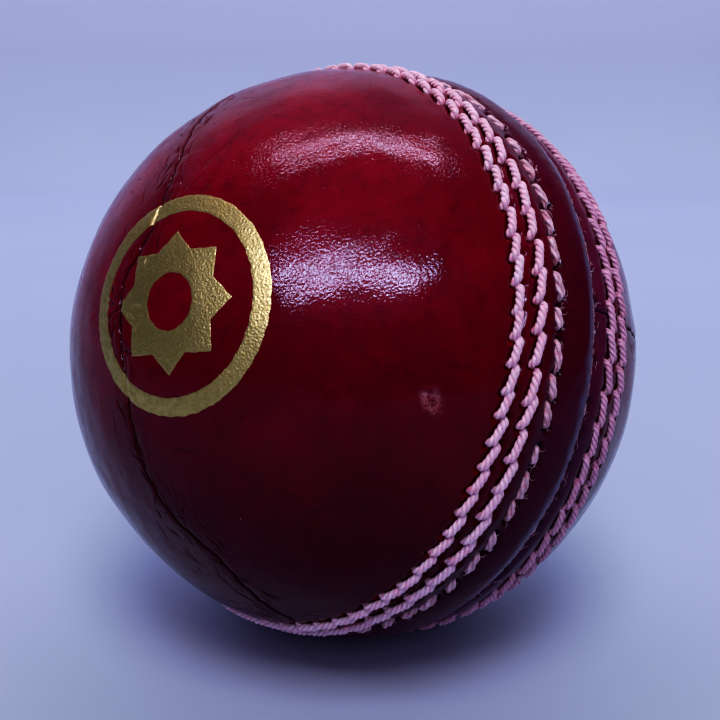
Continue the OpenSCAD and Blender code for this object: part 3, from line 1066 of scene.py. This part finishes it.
def foil_material():
    mat = Shader("gold_foil")
    mottle = mat.noise(scale=1.4, detail=5.0, rough=0.7)
    gold = mat.mix(mat.ramp(mottle, low=0.3, high=0.72), (0.38, 0.29, 0.085), (0.56, 0.45, 0.16))
    wear = mat.times(mat.patches(scale=2.6, detail=4.0, rough=0.75, low=0.60, high=0.70), 0.75)
    edge_wear = mat.times(mat.attr("edge"), mat.patches(
        scale=3.8, detail=3.0, rough=0.7, low=0.50, high=0.62, at_high=0.6))
    rub = mat.calc("MAXIMUM", wear, edge_wear, clamp=True)
    tone = mat.tint(gold, (0.12, 0.05, 0.02), rub, amount=0.55)
    normal = mat.bump(pebble(mat), distance=0.055)
    fine = mat.noise(scale=7.0, detail=2.0, rough=0.6)
    normal = mat.bump(fine, distance=0.02, normal=normal)
    rough = mat.ramp(mottle, low=0.3, high=0.7, at_low=0.48, at_high=0.36)
    metallic = mat.calc("SUBTRACT", 0.92, mat.times(rub, 0.7))
    mat.set(Base_Color=tone, Roughness=rough, Normal=normal, Metallic=metallic)
    return mat.material


def cork_material(name, light, dark, grit, scale):
    mat = Shader(name)
    tone = mat.mix(mat.ramp(mat.cell_value(scale), low=0.1, high=0.9), dark, light)
    gaps = mat.ramp(mat.voronoi(scale, "DISTANCE_TO_EDGE"), low=0.0, high=0.07, at_low=1.0,
                    at_high=0.0)
    tone = mat.tint(tone, grit, gaps, amount=0.7)
    grains = mat.patches(scale=2.4, detail=5.0, rough=0.7, low=0.58, high=0.72)
    tone = mat.mix(grains, tone, grit)
    relief = mat.calc("SUBTRACT", mat.noise(scale=1.8, detail=4.0, rough=0.6), gaps)
    rough = mat.patches(scale=1.2, low=0.3, high=0.7, at_low=0.72, at_high=0.9)
    mat.set(Base_Color=tone, Roughness=rough, Normal=mat.bump(relief, distance=0.12))
    return mat.material


def yarn_material():
    mat = Shader("worsted_yarn")
    fib = mat.scaled(mat.attr("fib", "Vector"), (9.0, 0.8, 5.0))
    strands = mat.noise(scale=1.0, detail=3.0, rough=0.6, vector=fib)
    fuzz = mat.noise(scale=2.1, detail=5.0, rough=0.75)
    tone = mat.mix(mat.ramp(strands, low=0.3, high=0.65), (0.52, 0.44, 0.33),
                   (0.80, 0.73, 0.60))
    tone = mat.tint(tone, (0.62, 0.50, 0.36), mat.patches(scale=0.15, low=0.4, high=0.7),
                    amount=0.4)
    normal = mat.bump(mat.plus(strands, fuzz), distance=0.10)
    mat.set(Base_Color=tone, Roughness=0.85, Normal=normal, Sheen_Weight=0.4)
    return mat.material


def lining_material():
    mat = Shader("lining_leather")
    nap = mat.noise(scale=2.0, detail=6.0, rough=0.75)
    tone = mat.mix(mat.patches(scale=0.2, detail=4.0, low=0.3, high=0.7),
                   (0.30, 0.17, 0.10), (0.46, 0.29, 0.18))
    tone = mat.tint(tone, (0.60, 0.42, 0.30), mat.ramp(nap, low=0.45, high=0.7), amount=0.5)
    normal = mat.bump(mat.noise(scale=0.5), distance=0.2)
    normal = mat.bump(nap, distance=0.12, normal=normal)
    rough = mat.ramp(nap, low=0.3, high=0.7, at_low=0.8, at_high=0.95)
    mat.set(Base_Color=tone, Roughness=rough, Normal=normal, Sheen_Weight=0.2)
    return mat.material


# ---------------------------------------------------------------- the ball
LEATHER = leather_material()
THREAD = thread_material("seam_thread", base=(1.0, 0.72, 0.92), stained=(0.92, 0.15, 0.27),
                         shade=(1.0, 0.48, 0.66))
# a darker copy of the seam thread for the right-hand rows: painted shade, as that side gets less
# light
SHADED_THREAD = thread_material("seam_thread_shaded", base=(0.84, 0.46, 0.66),
                         stained=(0.52, 0.08, 0.18), shade=(0.62, 0.27, 0.42))
WORN = thread_material("seam_thread_worn", base=(1.0, 0.70, 0.87), stained=(0.66, 0.16, 0.21),
                       shade=(0.90, 0.46, 0.59))
FOIL = foil_material()

quarter("leather_quarter_left_rear", side=1, branch=0, material=LEATHER)
quarter("leather_quarter_left_front", side=1, branch=1, material=LEATHER)
quarter("leather_quarter_right_lower", side=-1, branch=0, material=LEATHER)
quarter("leather_quarter_right_upper", side=-1, branch=1, material=LEATHER)
for row in ROWS:
    stitch_row(row, WORN if row.kind is FLUSH else THREAD if row.side > 0 else SHADED_THREAD)
foil(FOIL)

# CAD nodes that stay: the filling, the linings and the hidden stitches
CORK = cork_material("gore_cork", light=(0.62, 0.42, 0.25), dark=(0.40, 0.24, 0.13),
                     grit=(0.10, 0.05, 0.03), scale=0.55)
NUCLEUS = cork_material("nucleus_cork", light=(0.34, 0.21, 0.13), dark=(0.16, 0.09, 0.06),
                        grit=(0.03, 0.02, 0.02), scale=0.9)
YARN, LINING = yarn_material(), lining_material()
CLOSING = thread_material("closing_thread", base=(0.74, 0.66, 0.56),
                          stained=(0.50, 0.38, 0.28), shade=(0.46, 0.38, 0.30))
BY_PREFIX = {"cork_layer": CORK, "yarn_winding": YARN, "cup_lining": LINING,
             "quarter_seam_thread": CLOSING}
for name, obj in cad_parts.items():
    found = [material for prefix, material in BY_PREFIX.items() if name.startswith(prefix)]
    if name == "cork_nucleus":
        found = [NUCLEUS]
    if found:
        obj.data.materials.clear()
        obj.data.materials.append(found[0])

# ---------------------------------------------------------------- camera
# From here on, lengths are in metres.
ELEVATION, AZIMUTH = math.radians(15.0), math.radians(-41.9)
CAMERA_DISTANCE = 4.22 * RADIUS * MM
RIGHT = Vector((math.cos(AZIMUTH), math.sin(AZIMUTH), 0))
TO_CAMERA = Vector((math.sin(AZIMUTH) * math.cos(ELEVATION),
                    -math.cos(AZIMUTH) * math.cos(ELEVATION), math.sin(ELEVATION)))
TO_CAMERA_LEVEL = Vector((TO_CAMERA.x, TO_CAMERA.y, 0)).normalized()
UP = Vector((0, 0, 1))


def pose(x_axis, y_axis, z_axis, place):
    return Matrix(((*x_axis, 0), (*y_axis, 0), (*z_axis, 0), (*place, 1))).transposed()


def add_camera():
    data = bpy.data.cameras.new("camera")
    data.lens, data.sensor_width = 58.03, 36.0
    data.shift_x, data.shift_y = 0.01028, -0.01181
    data.clip_start = 0.005
    camera = bpy.data.objects.new("camera", data)
    bpy.context.scene.collection.objects.link(camera)
    camera.matrix_world = pose(RIGHT, TO_CAMERA.cross(RIGHT), TO_CAMERA,
                               TO_CAMERA * CAMERA_DISTANCE)
    bpy.context.scene.camera = camera


add_camera()

# ---------------------------------------------------------------- floor and backdrop
FLOOR_Z = CAD_BOX[0][2] - 0.00003
FLOOR_STATIONS = (-1.2, -0.6, -0.2, 0.1, 0.3, 0.45)   # distances away from the camera
SWEEP_RADIUS, SWEEP_POINTS = 0.07, 14
WALL_HEIGHTS = (0.4, 0.9, 1.6)
HALF_WIDTH, COLUMNS = 1.8, 13


def backdrop_material():
    mat = Shader("backdrop")
    tone = mat.mix(mat.patches(scale=0.01, detail=2.0, low=0.3, high=0.7),
                   (0.49, 0.54, 0.82), (0.51, 0.56, 0.84))
    # painted light: the sweep and the wall are painted lighter than the floor
    wall = mat.ramp(mat.upward(), low=-10.0, high=50.0)
    tone = mat.mix(wall, tone, (0.62, 0.64, 0.91))
    mat.set(Base_Color=tone, Roughness=0.8, Specular_IOR_Level=0.1)
    return mat.material


def backdrop():
    """A pale floor that sweeps up into a wall behind the ball."""
    floor_end = FLOOR_STATIONS[-1]
    profile = [(away, 0) for away in FLOOR_STATIONS]
    for angle in np.linspace(0, math.pi / 2, SWEEP_POINTS)[1:]:
        profile.append((floor_end + SWEEP_RADIUS * math.sin(angle),
                        SWEEP_RADIUS * (1 - math.cos(angle))))
    profile += [(floor_end + SWEEP_RADIUS, height) for height in WALL_HEIGHTS]
    verts = []
    for away, height in profile:
        for across in np.linspace(-HALF_WIDTH, HALF_WIDTH, COLUMNS):
            place = RIGHT * across - TO_CAMERA_LEVEL * away
            verts.append((place.x, place.y, FLOOR_Z + height))
    ids = np.arange(len(verts)).reshape(-1, COLUMNS)
    faces = np.stack([ids[:-1, :-1], ids[:-1, 1:], ids[1:, 1:], ids[1:, :-1]], -1).reshape(-1, 4)
    obj = new_object("backdrop", np.array(verts), faces)
    obj.data.materials.append(backdrop_material())
    return obj


floor = backdrop()


# ---------------------------------------------------------------- lights
def receivers(name, objects):
    """A collection of the objects that a lamp lights."""
    group = bpy.data.collections.new(name)
    for obj in objects:
        group.objects.link(obj)
    return group


def area_lamp(name, matrix, width, height, power, colour, hidden_from, lights=None):
    data = bpy.data.lights.new(name, "AREA")
    data.shape, data.size, data.size_y = "RECTANGLE", width, height
    data.energy, data.color = power, colour
    obj = bpy.data.objects.new(name, data)
    obj.matrix_world = matrix
    bpy.context.scene.collection.objects.link(obj)
    setattr(obj, "visible_" + hidden_from, False)
    if lights:
        obj.light_linking.receiver_collection = lights


def softbox(name, elevation, azimuth, distance, hidden_from="glossy", **lamp):
    """An area lamp aimed at the ball. Its angles are in degrees, from level towards the
    camera: elevation upward and azimuth to the picture's right."""
    rise, turn = math.radians(elevation), math.radians(azimuth)
    away = (TO_CAMERA_LEVEL * math.cos(rise) * math.cos(turn)
            + RIGHT * math.cos(rise) * math.sin(turn) + UP * math.sin(rise))
    z_axis = away.normalized()
    y_axis = z_axis.cross(RIGHT).normalized()
    matrix = pose(y_axis.cross(z_axis), y_axis, z_axis, away * distance)
    area_lamp(name, matrix, hidden_from=hidden_from, **lamp)


# The floor has its own lights, so that the shadow under the ball keeps its edge.
FLOOR_ONLY = receivers("floor_only", [floor])
NOT_FLOOR = receivers("not_floor", [floor])
NOT_FLOOR.collection_objects[0].light_linking.link_state = "EXCLUDE"
THREAD_ONLY = receivers("thread_only", [bpy.data.objects["visual_" + row.node] for row in ROWS])

softbox("front_shine", elevation=45, azimuth=0, distance=0.60, width=0.60, height=0.042,
        power=8.2, colour=(0.58, 0.59, 1.0), hidden_from="diffuse")
softbox("front_soft", elevation=42, azimuth=0, distance=0.80, width=0.80, height=0.50,
        power=2.6, colour=(0.67, 0.86, 1.0), lights=NOT_FLOOR)
softbox("top_shine", elevation=99, azimuth=0, distance=0.60, width=0.56, height=0.040,
        power=2.9, colour=(0.86, 0.68, 1.0), hidden_from="diffuse")
softbox("top_soft", elevation=87, azimuth=5, distance=0.90, width=1.1, height=0.9,
        power=3.35, colour=(1.0, 0.90, 1.0), lights=NOT_FLOOR)
softbox("key_soft", elevation=74, azimuth=4, distance=0.80, width=0.5, height=0.5,
        power=1.60, colour=(1.0, 0.90, 0.72), lights=NOT_FLOOR)
# lifts the floor behind the ball and the foot of the wall
area_lamp("wall_soft", pose(RIGHT, TO_CAMERA_LEVEL, UP, UP * 0.50 - TO_CAMERA_LEVEL * 0.40),
          width=1.4, height=0.5, power=3.0, colour=(0.95, 1.0, 0.97), hidden_from="glossy")
softbox("floor_fill", elevation=32, azimuth=0, distance=0.9, width=1.2, height=0.5,
        power=1.35, colour=(1.0, 0.78, 1.0), lights=FLOOR_ONLY)
softbox("floor_top", elevation=59, azimuth=1, distance=1.30, width=0.55, height=0.55,
        power=7.5, colour=(0.96, 1.0, 1.0), lights=FLOOR_ONLY)
softbox("thread_soft", elevation=58, azimuth=0, distance=0.80, width=0.60, height=0.50,
        power=1.2, colour=(1.0, 0.70, 0.96), lights=THREAD_ONLY)

world = bpy.data.worlds.new("world")
bpy.context.scene.world = world
world.use_nodes = True
background = world.node_tree.nodes["Background"]
background.inputs["Color"].default_value = (1.0, 1.0, 1.0, 1)
background.inputs["Strength"].default_value = 0.02


def tone_curve(pivot, power):
    """A toe that deepens the darks below the pivot, and a straight line above it."""
    view = bpy.context.scene.view_settings
    view.view_transform = "Standard"
    view.use_curve_mapping = True
    mapping = view.curve_mapping
    mapping.extend = "EXTRAPOLATED"
    combined = mapping.curves[3]
    for x in (0.01, 0.025, 0.05, 0.09, 0.14, 0.20, 0.27, 0.36, 0.50, 0.75):
        combined.points.new(x, pivot * (x / pivot) ** power if x < pivot else x)
    mapping.update()


tone_curve(pivot=0.36, power=1.45)
